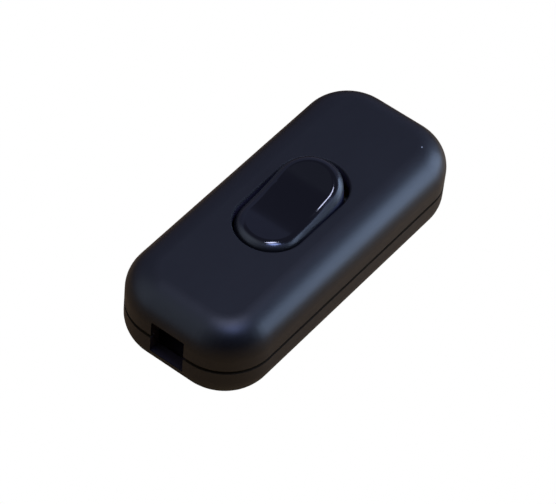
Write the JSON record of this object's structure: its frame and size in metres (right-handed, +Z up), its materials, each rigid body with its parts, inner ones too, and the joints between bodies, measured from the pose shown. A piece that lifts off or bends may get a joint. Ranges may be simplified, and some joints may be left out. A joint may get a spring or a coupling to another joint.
{
  "type": "inline cord switch",
  "caption": "Handheld inline rocker switch for a flexible mains cord: rounded two-part black housing, obround rocker and a square cord entry at each end.",
  "frame": {"origin": "centre of the flat underside", "axes": "+X along the cord towards the raised end of the rocker, +Y across the housing, +Z up out of the rocker's side"},
  "size_m": [0.064, 0.0278, 0.0193],
  "materials": {
    "housing_plastic": "satin moulded texture",
    "rocker_plastic": "polished",
    "clamp_plastic": "moulded",
    "plunger_plastic": "moulded",
    "brass": "stamped",
    "contact_silver": "turned",
    "screw_steel": "zinc plated",
    "spring_steel": "drawn wire"
  },
  "bodies": {
    "housing": {"upper_housing": "housing_plastic", "lower_housing": "housing_plastic", "near_cord_clamp": "clamp_plastic", "far_cord_clamp": "clamp_plastic", "terminal_screws": "screw_steel", "clamp_screws": "screw_steel", "case_screws": "screw_steel", "fulcrum_terminal_left": "brass", "fixed_terminal_left": "brass", "fixed_contact_left": "contact_silver", "fulcrum_terminal_right": "brass", "fixed_terminal_right": "brass", "fixed_contact_right": "contact_silver"},
    "rocker": {"rocker": "rocker_plastic", "plunger_spring_left": "spring_steel", "plunger_spring_right": "spring_steel"},
    "plunger_left": {"plunger_left": "plunger_plastic"},
    "blade_left": {"contact_blade_left": "brass", "moving_contact_left": "contact_silver"},
    "plunger_right": {"plunger_right": "plunger_plastic"},
    "blade_right": {"contact_blade_right": "brass", "moving_contact_right": "contact_silver"}
  },
  "joints": [
    {"name": "rocker_tilt", "type": "hinge", "parent": "housing", "child": "rocker", "pos_m": [0, 0, 0.0116], "axis": [0, 1, 0], "range_deg": [0, 16]},
    {"name": "plunger_slide_left", "type": "slide", "parent": "rocker", "child": "plunger_left", "axis": [-0.1392, 0, 0.9903], "range_m": [0, 0.0008], "stiffness_N_per_m": 300, "springref_m": -0.002, "deforming": ["plunger_spring_left"]},
    {"name": "blade_tilt_left", "type": "hinge", "parent": "housing", "child": "blade_left", "pos_m": [0, 0.003, 0.005], "axis": [0, 1, 0], "range_deg": [-16, 0]},
    {"name": "plunger_slide_right", "type": "slide", "parent": "rocker", "child": "plunger_right", "axis": [-0.1392, 0, 0.9903], "range_m": [0, 0.0008], "stiffness_N_per_m": 300, "springref_m": -0.002, "deforming": ["plunger_spring_right"]},
    {"name": "blade_tilt_right", "type": "hinge", "parent": "housing", "child": "blade_right", "pos_m": [0, -0.003, 0.005], "axis": [0, 1, 0], "range_deg": [-16, 0]}
  ],
  "couplings": [
    {"joint": "blade_tilt_left", "follows": "rocker_tilt", "ratio": -1},
    {"joint": "blade_tilt_right", "follows": "rocker_tilt", "ratio": -1}
  ]
}
